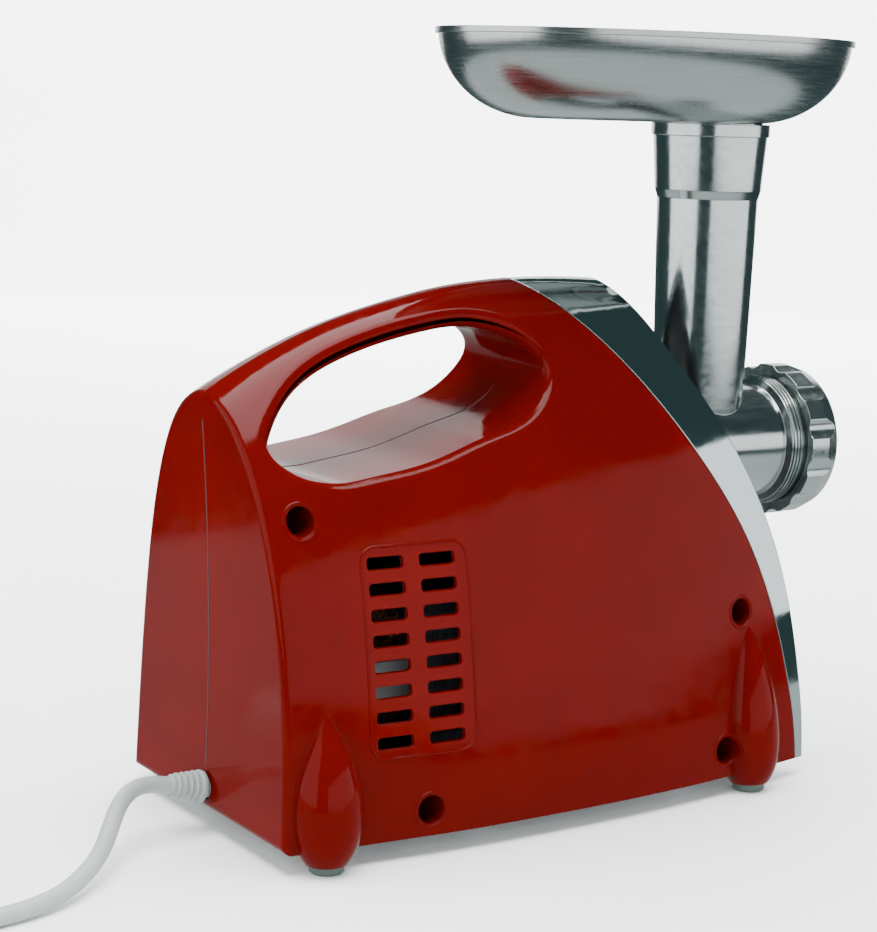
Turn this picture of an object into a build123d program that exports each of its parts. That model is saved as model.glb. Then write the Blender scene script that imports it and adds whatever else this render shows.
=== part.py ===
"""Electric meat grinder, as an assembly of separate pieces.

Millimetres. +Z is up, the outlet faces -Y, the cord leaves at +Y and the origin is
the centre of the object's base, on the surface it stands on. The barrel, the feed
screw and the drive's output shaft share one axis along Y, at the height axis_z.
"""

import math
import os

from build123d import *

# ---------------------------------------------------------------- body casing
base_z = 9.0  # lower edge of the casing, above the feet
base_half_width = 76.5  # widest place of the casing, at its base
ridge_z = 233.2  # highest line of the casing
wall = 2.6  # moulded casing wall
seam = 0.4  # visible gap between casing pieces
rear_top_y = 166.2  # rear face: top, waist and foot of its hollow curve
rear_waist_y = 160.8
rear_foot_y = 162.8
rear_waist_z = 92.0

# Arch sections of the casing: place along Y, share of the base half width,
# drop of the ridge and fullness of the arch.
arches = [
    (178.0, 0.900, 54.0, 2.45),
    (166.0, 0.918, 45.2, 2.40),
    (143.0, 0.940, 32.3, 2.05),
    (118.0, 0.962, 21.2, 1.80),
    (90.0, 0.988, 12.3, 1.64),
    (55.0, 1.000, 4.4, 1.54),
    (15.0, 0.992, 0.3, 1.48),
    (-25.0, 0.965, 0.6, 1.45),
    (-60.0, 0.920, 3.0, 1.44),
    (-95.0, 0.850, 6.0, 1.44),
    (-140.0, 0.750, 11.0, 1.44),
]
arch_levels = [0.0, 0.22, 0.42, 0.60, 0.76, 0.88, 0.96]

# Side outlines of the front trim: its seam with the casing and its front edge.
trim_seam = [(30, 1.035), (5, 0.967), (-32, 0.821), (-62, 0.666), (-85, 0.522),
             (-105.5, 0.316), (-115, 0.139), (-119, -0.02)]
trim_edge = [(-14, 1.045), (-33, 0.990), (-50, 0.894), (-77, 0.733), (-99, 0.566),
             (-113, 0.395), (-120.5, 0.214), (-123, -0.02)]
trim_lip = 7.0  # depth of the trim's front rim
panel_recess = 10.0  # front panel behind the trim's front edge
panel_wall = 3.0
panel_gap = 0.3

# Handle opening, right through the casing: place along Y, depth under the ridge.
grip = [(151, 64), (134, 45.5), (105, 31.2), (66, 21.5), (32, 22.5), (15.5, 37.0),
        (25, 53), (52, 63.5), (80, 72), (110, 77), (141, 75)]
grip_round = 5.0
rear_round = 3.5  # rounding of the rear face's edges

# ---------------------------------------------------------------- casing details
slot_length, slot_height = 17.0, 5.2  # vent slots
slot_round = 1.6
slot_columns, slot_rows = 2, 8
slot_pitch_y, slot_pitch_z = 24.5, 10.4
vent_y, vent_z = 98.2, 86.4
boss_spots = [(146.5, 141.5), (-81.5, 83.0), (-68.5, 21.7), (94.7, 20.2)]
boss_r = 8.1
counterbore_r = 6.1
boss_floor = 11.0  # screw seat, from the centre seam
screw_r = 1.7
screw_head_r, screw_head = 3.8, 2.8
pilot_depth = 16.0
fit = 0.05  # radial clearance of a running fit
play = 0.2  # clearance of a loose fit

foot_r, foot_z = 7.3, 6.4
rear_foot, front_foot = 142.0, -86.3
foot_inset = 1.2  # foot axis inside the casing's side at its base
pod_floor = 3.4
post_spots = [(128.0, 58.0), (58.0, 60.0), (-52.0, 55.0)]
post_r = 5.2
post_top = 30.0
base_wall = 3.0

# ---------------------------------------------------------------- grinding head
axis_z = 151.4
barrel_r = 27.0
bore_r = 24.0
spigot_r = 27.4
spigot_y = -50.0  # rear end of the head, inside the socket
flange_y = -75.8  # rear face of the head's flange
flange_r, flange_wall = 34.0, 3.6
ring_r = 31.4  # ridged ring behind the nut
ring_y, ring_length = -139.1, 7.5
thread_r = 29.4
mouth_y = -152.2  # open end of the barrel
seat_y = -149.6  # where the plate seats
plate_r, plate_thick = 26.9, 5.0
pin_r = 4.0
nut_y = -157.6
nut_r, nut_front_r = 36.6, 34.7
nut_flutes = 12
nut_pitch = 4.0
lip_r = 24.6
head_wall_y = -58.0  # inner rear wall of the head

tube_y = -98.0
tube_foot_r, tube_step_r = 21.3, 23.6
step_z = 270.3
collar_foot_r, collar_r = 24.8, 26.6
collar_lip_r, collar_lip = 27.6, 5.6
collar_z = 303.0
throat_foot_r, throat_r = 18.2, 20.4
socket_bore_r = 24.4  # collar's bore for the tray's spout
spout_depth = 17.0

tray_half_length, tray_half_width = 106.3, 73.3
tray_y = -59.6
tray_rim_z = 342.2
tray_floor_z = 303.4
tray_sheet = 1.2
tray_curve = 44.0  # how far the side curves in from the rim to the floor

worm_core_r, worm_pitch = 8.5, 23.0
tail_half = 5.0  # half the square of the screw's tail
stud_half = 3.6  # half the square of the stud that carries the blade
blade_thick = 7.6

# ---------------------------------------------------------------- drive
first_module, second_module = 0.9, 1.3
pinion_teeth, first_teeth, second_teeth = 12, 72, 60
first_centre = first_module * (pinion_teeth + first_teeth) / 2
second_centre = second_module * (pinion_teeth + second_teeth) / 2
idler_z = axis_z - second_centre
motor_z = idler_z - first_centre
gearbox_front, gearbox_back = -32.0, 6.0
gearbox_wall = 4.0
gearbox_top_r, gearbox_foot_r = 45.4, 40.0
output_r, idler_r, motor_shaft_r = 9.0, 4.0, 4.0
coupling_r = 12.6
socket_r = 33.4
socket_front_y = -75.2
socket_flange_r, socket_flange = gearbox_top_r, 4.0
socket_screw_r = 43.4  # circle of the socket's screws
stator_y, stator_length = 36.0, 44.0  # front end and stack length
stator_width, stator_height = 76.0, 70.0
armature_r = 21.8
air_gap = 0.6
commutator_r = 12.0
bracket_y = 117.0  # rear face of the motor's end bracket
fan_r = 29.0
bolt_x = 33.5
bolt_r = 2.0

# ---------------------------------------------------------------- controls
switch_y, switch_z = 22.0, 96.0
switch_height, switch_width = 36.0, 26.0
rocker_height, rocker_width = 19.2, 12.4
rocker_swing = 12.0
lock_angle = 25.0  # from straight up, towards +X
lock_radius = 43.0
lock_x = lock_radius * math.sin(math.radians(lock_angle))
lock_z = axis_z + lock_radius * math.cos(math.radians(lock_angle))
lock_pin_r, lock_button_r = 2.6, 6.0
lock_travel = 3.5
lock_back, lock_lip = -43.5, 3.0  # rear face of the button and depth of its stop lip
spring_wire = 0.35

# ---------------------------------------------------------------- mains lead
cord_d = 7.2
boot_y, boot_z = 160.9, 18.6
boot_root_r, boot_tip_r = 7.2, 4.7
boot_length = 14.5
boot_rise = 12.0  # degrees
lead_straight = 7.0  # first run, in line with the boot
lead_route = [(-1.5, 192.6, 23.9), (-5.6, 200.4, 22.8), (-12.9, 208.0, 20.1),
              (-23.4, 215.8, 16.0), (-35.6, 224.8, 11.6), (-47.8, 237.0, 7.8),
              (-58.3, 252.2, 5.1), (-64.7, 270.0, 3.8), (-67.0, 290.0, 3.7),
              (-66.8, 310.0, 4.2), (-66.0, 328.0, 4.2)]
tail_route = [(17.6, 328.0, 11.4), (18.0, 313.0, 10.0), (21.5, 298.5, 5.4),
              (29.5, 285.5, 3.7), (41.5, 276.0, 5.4), (55.0, 270.5, 10.2), (68.0, 268.0, 10.2)]
coil_centre = (-26.0, 328.0)
coil_mean_r = 40.0
tie_wall, tie_width = 0.6, 4.0
plug_length, plug_width, plug_height = 36.0, 34.0, 20.4
plug_boot = 16.0
plug_pin_r, plug_pin_length, plug_pin_pitch = 2.4, 19.0, 19.0


# ================================================================ helpers
def cross(y):
    """Plane across the barrel axis; extrusions from it run towards the outlet."""
    return Plane.XZ.offset(-y)


def disc(y_rear, length, radius, z=axis_z, x=0.0, mode=Mode.ADD):
    """Cylinder along Y in the current piece."""
    with BuildSketch(cross(y_rear)) as end:
        with Locations((x, z)):
            Circle(radius)
    extrude(end.sketch, amount=length, mode=mode)


def block(low, high, mode=Mode.ADD):
    """Box between two corners in the current piece."""
    size = [b - a for a, b in zip(low, high)]
    with BuildSketch(Plane.XY.offset(low[2])) as floor:
        with Locations(((low[0] + high[0]) / 2, (low[1] + high[1]) / 2)):
            Rectangle(size[0], size[1])
    extrude(floor.sketch, amount=size[2], mode=mode)


def sector(y_rear, length, r_in, r_out, start, span, z, mode=Mode.ADD):
    """Part of a ring along Y, from the angle start over span degrees."""
    with BuildSketch(cross(y_rear)) as end:
        with BuildLine():
            outer = CenterArc((0, z), r_out, start, span)
            inner = CenterArc((0, z), r_in, start, span)
            Line(outer @ 0, inner @ 0)
            Line(outer @ 1, inner @ 1)
        make_face()
    extrude(end.sketch, amount=length, mode=mode)


def arch_value(y, index):
    """Value of the arch table at y, in straight steps."""
    for (y1, *a), (y0, *b) in zip(arches, arches[1:]):
        if y0 <= y <= y1:
            share = (y - y0) / (y1 - y0)
            return b[index] + share * (a[index] - b[index])
    raise ValueError("outside the casing")


def side_x(y, z):
    """Half width of the casing at a place on its side."""
    half = arch_value(y, 0) * base_half_width
    top = ridge_z - arch_value(y, 1)
    return half * math.sqrt(max(0.0, 1 - (z / top) ** arch_value(y, 2)))


def arch_body(inset):
    """Solid through the arch sections, drawn in by inset."""
    with BuildPart() as body:
        for y, share, drop, fullness in arches:
            half = share * base_half_width - inset
            top = ridge_z - drop - inset
            side = [(half * math.sqrt(1 - t ** fullness), t * top) for t in arch_levels]
            with BuildSketch(cross(y)):
                with BuildLine():
                    Spline(*side, (0, top), *[(-x, z) for x, z in reversed(side)],
                           tangents=((0, 1), (0, -1)))
                    Line((-half, 0), (half, 0))
                make_face()
        loft()
    return body.part


def side_prism(front, inset=0.0, floor=base_z, shift=(0.0, 0.0)):
    """Prism across the casing, between its rear face and a front outline."""
    outline = [(y + shift[0], share * ridge_z + shift[1]) for y, share in front]
    roof = 1.2 * ridge_z
    with BuildPart() as prism:
        with BuildSketch(Plane.YZ):
            with BuildLine():
                rear = ThreePointArc((rear_foot_y - inset, -10),
                                     (rear_waist_y - inset, rear_waist_z),
                                     (rear_top_y - inset, 0.82 * ridge_z))
                crest = Spline(*outline)
                Polyline(rear @ 1, (rear_top_y - inset, roof), (outline[0][0], roof), crest @ 0)
                Polyline(crest @ 1, (outline[-1][0], -10), rear @ 0)
            make_face()
        extrude(amount=2 * base_half_width, both=True)
        with BuildSketch(Plane.XY.offset(floor)):
            Rectangle(1000, 1000)
        extrude(amount=-100, mode=Mode.SUBTRACT)
    return prism.part


def grip_prism(spread):
    """Handle opening through the casing, larger all round by spread."""
    loop = Spline(*[(y, ridge_z - depth) for y, depth in grip], periodic=True)
    places = [k / 26 for k in range(26)]
    points = [(loop @ t) + Vector((loop % t).Y, -(loop % t).X) * spread for t in places]
    with BuildPart() as prism:
        with BuildSketch(Plane.YZ):
            with BuildLine():
                Spline(*points, periodic=True)
            make_face()
        extrude(amount=2 * base_half_width, both=True)
    return prism.part


def involute_points(teeth, module, turn):
    """Outline of a spur gear with 25 degree involute teeth and a little backlash."""
    pressure, backlash = math.radians(25), 0.12
    pitch_r = module * teeth / 2
    base_r = pitch_r * math.cos(pressure)
    tip_r, root_r = pitch_r + module, pitch_r - 1.25 * module

    def involute(angle):
        return math.tan(angle) - angle

    half_pitch = math.pi / (2 * teeth) - backlash / (2 * pitch_r)
    flank = []
    for step in range(4):
        r = max(base_r, root_r) + (tip_r - max(base_r, root_r)) * step / 3
        lean = math.acos(min(1.0, base_r / r))
        flank.append((r, half_pitch + involute(pressure) - involute(lean)))
    if root_r < base_r:
        flank.insert(0, (root_r, flank[0][1]))
    outline = []
    for tooth in range(teeth):
        middle = math.radians(turn) + 2 * math.pi * tooth / teeth
        for r, half in flank:
            outline.append((r * math.cos(middle - half), r * math.sin(middle - half)))
        for r, half in reversed(flank):
            outline.append((r * math.cos(middle + half), r * math.sin(middle + half)))
    return outline


def toothed(y_rear, length, teeth, module, z, turn):
    """Spur gear rim in the current piece."""
    points = [(x, z + h) for x, h in involute_points(teeth, module, turn)]
    with BuildSketch(cross(y_rear)) as end:
        with BuildLine():
            Polyline(*points, close=True)
        make_face()
    extrude(end.sketch, amount=length)


def turned(profile, z=axis_z, mode=Mode.ADD):
    """Solid turned about an axis along Y, from (y, radius) points."""
    with BuildSketch(Plane.YZ) as half:
        with BuildLine():
            Polyline(*[(y, z + r) for y, r in profile], close=True)
        make_face()
    revolve(half.sketch, axis=Axis((0, 0, z), (0, 1, 0)), mode=mode)


def upright(profile, y=tube_y, mode=Mode.ADD):
    """Solid turned about a vertical axis, from (radius, z) points."""
    with BuildSketch(cross(y)) as half:
        with BuildLine():
            Polyline(*profile, close=True)
        make_face()
    revolve(half.sketch, axis=Axis((0, y, 0), (0, 0, 1)), mode=mode)


def screws_along_y(spots, seat, length, radius, head_r, head):
    """Screws from a seat towards +Y, their heads on the outlet's side."""
    for x, z in spots:
        disc(seat, head, head_r, z, x)
        disc(seat + length, length, radius, z, x)


pieces = {}

# ================================================================ casing
outer_skin = arch_body(0)
inner_skin = arch_body(wall)
liner_skin = arch_body(wall + play)
behind_trim = side_prism(trim_seam)
hollow = side_prism(trim_seam, inset=wall, floor=-5, shift=(-60, 0))
to_trim_edge = side_prism(trim_edge)


def pod(y):
    """Teardrop bulge over one foot; its tip lies on the casing's side."""
    half = side_x(y, base_z) - foot_inset
    tip_z = 78.0 if y < 0 else 67.0
    tip_x = side_x(y, tip_z) - 1.0
    swell = 14.4 if y < 0 else 15.4
    height = tip_z - pod_floor
    lean = math.degrees(math.atan2(half - tip_x, height))
    with BuildPart() as bulge:
        with BuildSketch(Plane.XZ):
            with BuildLine():
                flank = Spline((foot_r + 1.6, 0), (swell, 0.32 * height), (0.76 * swell, 0.65 * height),
                               (0, height), tangents=((0.8, 1), (-0.55, 1)))
                Polyline(flank @ 1, (0, 0), flank @ 0)
            make_face()
        revolve(axis=Axis.Z)
    leant = bulge.part.rotate(Axis.Y, -lean)
    return leant.moved(Location((half, y, pod_floor)))


right_pods = [pod(y).mirror(Plane.YZ) for y in (rear_foot, front_foot)]
left_pods = [pod(y) for y in (rear_foot, front_foot)]

with BuildPart() as casing:
    add(outer_skin)
    add(behind_trim, mode=Mode.INTERSECT)
    rear = casing.edges().filter_by(lambda e: e.bounding_box().min.Y > 155 and e.length > 60)
    fillet(rear, rear_round)
    add(grip_prism(0), mode=Mode.SUBTRACT)
    mouths = casing.edges().filter_by(
        lambda e: e.length > 200 and 0 < e.center().Y < 60 and e.center().Z > 0.75 * ridge_z)
    fillet(mouths, grip_round)
    add(right_pods + left_pods)
solid_casing = casing.part

with BuildPart() as cavity:
    add(inner_skin)
    add(hollow, mode=Mode.INTERSECT)
    add(grip_prism(wall), mode=Mode.SUBTRACT)
    with BuildSketch(Plane.XY.offset(base_z)):
        Rectangle(1000, 1000)
    extrude(amount=-100, mode=Mode.SUBTRACT)

with BuildPart() as bosses:
    for y, z in boss_spots:
        with BuildSketch(Plane.YZ):
            with Locations((y, z)):
                Circle(boss_r)
        extrude(amount=base_half_width, both=True)
    for y, x in post_spots:
        with BuildSketch(Plane.XY.offset(base_z + base_wall + play)):
            with Locations((x, y), (-x, y)):
                Circle(post_r)
        extrude(amount=post_top - base_z - base_wall)
        for side in (-1, 1):
            low = (min(side * x, side * 1.4 * x), y - 1.5, base_z + base_wall + play)
            high = (max(side * x, side * 1.4 * x), y + 1.5, post_top)
            block(low, high)
    add(solid_casing, mode=Mode.INTERSECT)

with BuildPart() as casing_shell:
    add(solid_casing)
    add(cavity.part, mode=Mode.SUBTRACT)
    add(bosses.part)
    # vent slots, the same on both sides
    with BuildSketch(Plane.YZ):
        with Locations((vent_y, vent_z)):
            with GridLocations(slot_pitch_y, slot_pitch_z, slot_columns, slot_rows):
                RectangleRounded(slot_length, slot_height, slot_round)
    extrude(amount=base_half_width, both=True, mode=Mode.SUBTRACT)
    # recesses for the feet
    for y in (rear_foot, front_foot):
        x = side_x(y, base_z) - foot_inset
        with BuildSketch(Plane.XY):
            with Locations((x, y), (-x, y)):
                Circle(foot_r + fit)
        extrude(amount=foot_z, mode=Mode.SUBTRACT)
    # base screw holes in the posts
    with BuildSketch(Plane.XY.offset(base_z)):
        with Locations(*[(s * x, y) for y, x in post_spots for s in (-1, 1)]):
            Circle(screw_r + fit)
    extrude(amount=pilot_depth, mode=Mode.SUBTRACT)
    # mains lead entry, round the centre seam
    disc(boot_y + 20, 45, boot_root_r - 1.8, boot_z, mode=Mode.SUBTRACT)

with BuildPart() as housing_right:
    add(casing_shell.part)
    split(bisect_by=Plane.YZ, keep=Keep.BOTTOM)
    with BuildSketch(Plane.YZ):
        with Locations(*boss_spots):
            Circle(screw_r + play)
    extrude(amount=-base_half_width, mode=Mode.SUBTRACT)
    with BuildSketch(Plane.YZ.offset(-boss_floor)):
        with Locations(*boss_spots):
            Circle(counterbore_r)
    extrude(amount=-1.3 * base_half_width, mode=Mode.SUBTRACT)

lean = math.atan2(side_x(switch_y, switch_z - 15) - side_x(switch_y, switch_z + 15), 30)
switch_plane = Plane(origin=(side_x(switch_y, switch_z), switch_y, switch_z), x_dir=(0, 1, 0),
                     z_dir=(math.cos(lean), 0, math.sin(lean)))
with BuildPart() as housing_left:
    add(casing_shell.part)
    split(bisect_by=Plane.YZ, keep=Keep.TOP)
    with BuildSketch(Plane.YZ):
        with Locations(*boss_spots):
            Circle(screw_r + fit)
    extrude(amount=pilot_depth, mode=Mode.SUBTRACT)
    with BuildSketch(switch_plane.offset(-20)):
        RectangleRounded(switch_width + 2 * play, switch_height + 2 * play, 3)
    extrude(amount=40, mode=Mode.SUBTRACT)
pieces.update(housing_right=housing_right, housing_left=housing_left)

# ---------------------------------------------------------------- front trim and panel
with BuildPart() as front_trim:
    add(outer_skin)
    add(to_trim_edge, mode=Mode.INTERSECT)
    add(side_prism(trim_seam, shift=(-seam, 0.3 * seam)), mode=Mode.SUBTRACT)
    add(inner_skin, mode=Mode.SUBTRACT)

with BuildPart() as trim_rim:
    add(outer_skin)
    add(to_trim_edge, mode=Mode.INTERSECT)
    add(side_prism(trim_edge, shift=(wall, -wall)), mode=Mode.SUBTRACT)
    add(arch_body(trim_lip), mode=Mode.SUBTRACT)

with BuildPart() as front_bezel:
    add(front_trim.part)
    add(trim_rim.part)
    add(side_prism(trim_seam, shift=(-seam, 0.3 * seam)), mode=Mode.SUBTRACT)
pieces["front_bezel"] = front_bezel

with BuildPart() as front_panel:
    add(arch_body(wall + panel_gap))
    add(side_prism(trim_edge, shift=(panel_recess, -0.4 * panel_recess)), mode=Mode.INTERSECT)
    add(side_prism(trim_edge, floor=-5, shift=(panel_recess + panel_wall, -0.4 * panel_recess - panel_wall)),
        mode=Mode.SUBTRACT)
    disc(0, 200, flange_r + 3 * play, mode=Mode.SUBTRACT)
    disc(0, 200, lock_button_r + play, lock_z, lock_x, mode=Mode.SUBTRACT)
pieces["front_panel"] = front_panel

# ---------------------------------------------------------------- base
stator_back = stator_y + stator_length
stator_foot_z = motor_z - stator_height / 2

with BuildPart() as base_plate:
    add(liner_skin)
    add(side_prism(trim_edge, inset=wall + play, shift=(panel_recess + 3 * panel_wall, 0)),
        mode=Mode.INTERSECT)
    with BuildSketch(Plane.XY.offset(base_z + base_wall)):
        Rectangle(1000, 1000)
    extrude(amount=400, mode=Mode.SUBTRACT)
    for y in (stator_y + 0.2 * stator_length, stator_back - 0.2 * stator_length):
        block((-26, y - 2.5, base_z + base_wall - 1), (26, y + 2.5, stator_foot_z))
    with BuildSketch(Plane.XY):
        with Locations(*[(s * x, y) for y, x in post_spots for s in (-1, 1)]):
            Circle(screw_r + play)
        for y in range(40, 80, 8):
            with Locations((-42, y), (42, y)):
                SlotOverall(20, 3)
    extrude(amount=30, mode=Mode.SUBTRACT)
    # notch under the lead's entry
    block((-9, boot_y - 16, 0), (9, boot_y + 20, 30), mode=Mode.SUBTRACT)
pieces["base_plate"] = base_plate

with BuildPart() as base_screws:
    with BuildSketch(Plane.XY.offset(base_z - screw_head)):
        with Locations(*[(s * x, y) for y, x in post_spots for s in (-1, 1)]):
            Circle(screw_head_r)
    extrude(amount=screw_head)
    with BuildSketch(Plane.XY.offset(base_z)):
        with Locations(*[(s * x, y) for y, x in post_spots for s in (-1, 1)]):
            Circle(screw_r)
    extrude(amount=pilot_depth - 2)
pieces["base_screws"] = base_screws

with BuildPart() as feet:
    for y in (rear_foot, front_foot):
        x = side_x(y, base_z) - foot_inset
        with BuildSketch(Plane.XY):
            with Locations((x, y), (-x, y)):
                Circle(foot_r)
        extrude(amount=foot_z - play)
    chamfer(feet.faces().sort_by(Axis.Z)[:4].edges(), 0.8)
pieces["rubber_feet"] = feet

with BuildPart() as housing_screws:
    with BuildSketch(Plane.YZ.offset(-boss_floor)):
        with Locations(*boss_spots):
            Circle(screw_head_r)
    extrude(amount=-screw_head)
    with BuildSketch(Plane.YZ.offset(-boss_floor)):
        with Locations(*boss_spots):
            Circle(screw_r)
    extrude(amount=boss_floor + pilot_depth - 2)
    with BuildSketch(Plane.YZ.offset(-boss_floor - screw_head)):
        with Locations(*boss_spots):
            Rectangle(4.4, 0.9)
            Rectangle(0.9, 4.4)
    extrude(amount=1.4, mode=Mode.SUBTRACT)
pieces["housing_screws"] = housing_screws

# ---------------------------------------------------------------- grinding head
ring_back = ring_y + ring_length

with BuildPart() as grinder_head:
    ridges = []
    for k in range(3):
        crest = ring_y + 4.9 - 2.0 * k
        ridges += [(crest + 0.6, ring_r - 1.2), (crest + 0.4, ring_r), (crest - 0.5, ring_r),
                   (crest - 0.7, ring_r - 1.2)]
    turned([(spigot_y, 0), (spigot_y, spigot_r), (flange_y, spigot_r), (flange_y, flange_r),
            (flange_y - flange_wall, flange_r), (flange_y - flange_wall, barrel_r),
            (ring_back, barrel_r), (ring_back - 1.6, ring_r - 1.2), *ridges,
            (ring_y, ring_r - 1.2), (ring_y, thread_r), (mouth_y, thread_r), (mouth_y, 0)])
    upright([(0, axis_z), (tube_foot_r - 0.4, axis_z), (tube_step_r, step_z - 1.8),
             (collar_foot_r, step_z + 2.0), (collar_r, collar_z - collar_lip),
             (collar_lip_r, collar_z - collar_lip), (collar_lip_r, collar_z), (0, collar_z)])
    # ear for the lock pin
    with BuildSketch(cross(flange_y)):
        with BuildLine():
            Polyline((0, axis_z), (lock_x - 4.5, lock_z + 4.0), (lock_x + 4.5, lock_z - 4.0), close=True)
        make_face()
        with Locations((lock_x, lock_z)):
            Circle(6.0)
    extrude(amount=flange_wall)
    # bayonet lugs
    with BuildSketch(cross(head_wall_y)):
        with Locations((0, axis_z)):
            with PolarLocations(spigot_r + 0.35, 3, start_angle=90):
                Rectangle(3.5, 13)
    extrude(amount=5)
    # hollow
    disc(head_wall_y, head_wall_y - mouth_y + 5, bore_r, mode=Mode.SUBTRACT)
    disc(seat_y, seat_y - mouth_y + 5, plate_r + play, mode=Mode.SUBTRACT)
    disc(spigot_y + 5, 20, output_r + fit, mode=Mode.SUBTRACT)
    upright([(0, axis_z), (throat_foot_r, axis_z), (throat_r, collar_z - spout_depth - 6),
             (socket_bore_r, collar_z - spout_depth - 1), (socket_bore_r, collar_z + 5),
             (0, collar_z + 5)], mode=Mode.SUBTRACT)
    disc(flange_y + 5, 20, lock_pin_r + play, lock_z, lock_x, mode=Mode.SUBTRACT)
    # key that stops the plate from turning
    block((-1.5, seat_y - 2.4, axis_z + plate_r - 2.0), (1.5, seat_y, axis_z + thread_r - 0.5))
pieces["grinder_head"] = grinder_head

with BuildPart() as cutting_plate:
    disc(seat_y, plate_thick, plate_r)
    disc(seat_y + 5, 20, pin_r + fit, mode=Mode.SUBTRACT)
    with BuildSketch(cross(seat_y)):
        with Locations((0, axis_z)):
            for ring, holes in ((8.6, 9), (13.4, 15), (18.2, 20), (22.6, 26)):
                with PolarLocations(ring, holes):
                    Circle(1.9)
    extrude(amount=plate_thick, mode=Mode.SUBTRACT)
    block((-1.7, seat_y - 20, axis_z + plate_r - 2.2), (1.7, seat_y + 1, axis_z + 2 * plate_r),
          mode=Mode.SUBTRACT)
pieces["cutting_plate"] = cutting_plate

with BuildPart() as ring_nut:
    nut_back = ring_y - 1.2
    with BuildSketch(cross(nut_back)):
        with Locations((0, axis_z)):
            Circle(nut_r)
            with PolarLocations(nut_r + 5.2, nut_flutes, start_angle=15):
                Circle(7.0, mode=Mode.SUBTRACT)
    extrude(amount=nut_back - nut_y)
    fillet(ring_nut.edges().filter_by(Axis.Y), 1.2)
    # turned front shoulder
    turned([(nut_y - 1, nut_front_r - 0.7), (nut_y - 1, 2 * nut_r), (nut_y + 8, 2 * nut_r),
            (nut_y + 8, nut_r + 0.3)], mode=Mode.SUBTRACT)
    disc(nut_back + 5, nut_back + 5 - (seat_y - plate_thick) + play / 2, thread_r + play,
         mode=Mode.SUBTRACT)
    disc(nut_back, 60, lip_r, mode=Mode.SUBTRACT)
pieces["ring_nut"] = ring_nut

worm_front, worm_back = -141.5, head_wall_y - 2.0
with BuildSketch(cross(worm_back)) as worm_section:
    with Locations((0, axis_z)):
        Circle(worm_core_r)
    with BuildLine():
        reach = bore_r - 0.6
        root = worm_core_r - 1.0
        spots = [(root, -34), (reach, -19), (reach, 19), (root, 34)]
        corner = [(r * math.cos(math.radians(a)), axis_z + r * math.sin(math.radians(a)))
                  for r, a in spots]
        Line(corner[0], corner[1])
        ThreePointArc(corner[1], (reach, axis_z), corner[2])
        Line(corner[2], corner[3])
        Line(corner[3], corner[0])
    make_face()
worm_length = worm_back - worm_front
worm = Solid.extrude_linear_with_rotation(
    worm_section.sketch.faces()[0], (0, worm_back, axis_z), (0, -worm_length, 0),
    360 * worm_length / worm_pitch)

with BuildPart() as feed_screw:
    add(worm)
    disc(spigot_y + 0.4, spigot_y + 0.4 - worm_back, output_r)
    block((-tail_half, spigot_y, axis_z - tail_half), (tail_half, spigot_y + 12, axis_z + tail_half))
    block((-stud_half, seat_y + play, axis_z - stud_half), (stud_half, worm_front, axis_z + stud_half))
    disc(seat_y + play, plate_thick + 1.2, pin_r)
pieces["feed_screw"] = feed_screw

with BuildPart() as screw_washer:
    disc(head_wall_y - 0.1, 1.8, 13.5)
    disc(head_wall_y + 5, 20, output_r, mode=Mode.SUBTRACT)
pieces["screw_washer"] = screw_washer

with BuildPart() as cutting_blade:
    blade_back = worm_front - 0.2
    disc(blade_back, blade_thick, 9.2)
    with BuildSketch(cross(blade_back - 0.4 * blade_thick)):
        for turn in range(0, 360, 90):
            lean = math.radians(turn)
            tip = [(5, -4.5), (bore_r - 1.2, -2.6), (bore_r - 0.8, 3.2), (5, 5.0)]
            with BuildLine():
                Polyline(*[(x * math.cos(lean) - h * math.sin(lean),
                            axis_z + x * math.sin(lean) + h * math.cos(lean)) for x, h in tip],
                         close=True)
            make_face()
    extrude(amount=0.6 * blade_thick)
    block((-stud_half - fit, seat_y, axis_z - stud_half - fit),
          (stud_half + fit, blade_back + 5, axis_z + stud_half + fit), mode=Mode.SUBTRACT)
pieces["cutting_blade"] = cutting_blade


def tray_form(inset, floor, rim):
    """Oval bowl as a solid; its side is a quarter of an ellipse."""
    with BuildPart() as form:
        for share in (0, 0.05, 0.14, 0.28, 0.48, 0.72, 1):
            draw_in = inset + tray_curve * (1 - math.sqrt(1 - (1 - share) ** 2))
            with BuildSketch(Plane.XY.offset(floor + share * (rim - floor))):
                with Locations((0, tray_y)):
                    Ellipse(tray_half_width - draw_in, tray_half_length - draw_in)
        loft()
    return form.part


tray_outer = tray_form(1.4, tray_floor_z, tray_rim_z)
tray_inner = tray_form(1.4 + tray_sheet, tray_floor_z + tray_sheet, tray_rim_z + tray_sheet)
with BuildPart() as food_tray:
    add(tray_outer)
    # spout that drops into the collar
    upright([(0, collar_z - spout_depth), (socket_bore_r - play, collar_z - spout_depth),
             (socket_bore_r - play, tray_floor_z + 3), (0, tray_floor_z + 3)])
    add(tray_inner, mode=Mode.SUBTRACT)
    upright([(0, 0), (socket_bore_r - play - tray_sheet, 0),
             (socket_bore_r - play - tray_sheet, tray_rim_z), (0, tray_rim_z)], mode=Mode.SUBTRACT)
    # turned-out rim
    with BuildSketch(Plane.XY.offset(tray_rim_z - 2.6)):
        with Locations((0, tray_y)):
            Ellipse(tray_half_width, tray_half_length)
            Ellipse(tray_half_width - 2.0, tray_half_length - 2.0, mode=Mode.SUBTRACT)
    extrude(amount=2.6)
pieces["food_tray"] = food_tray

# ---------------------------------------------------------------- head socket and lock
socket_screws_at = [(socket_screw_r * math.cos(math.radians(a)),
                     axis_z + socket_screw_r * math.sin(math.radians(a))) for a in (-8, 90, 188)]
socket_seat = gearbox_front - socket_flange

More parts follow.
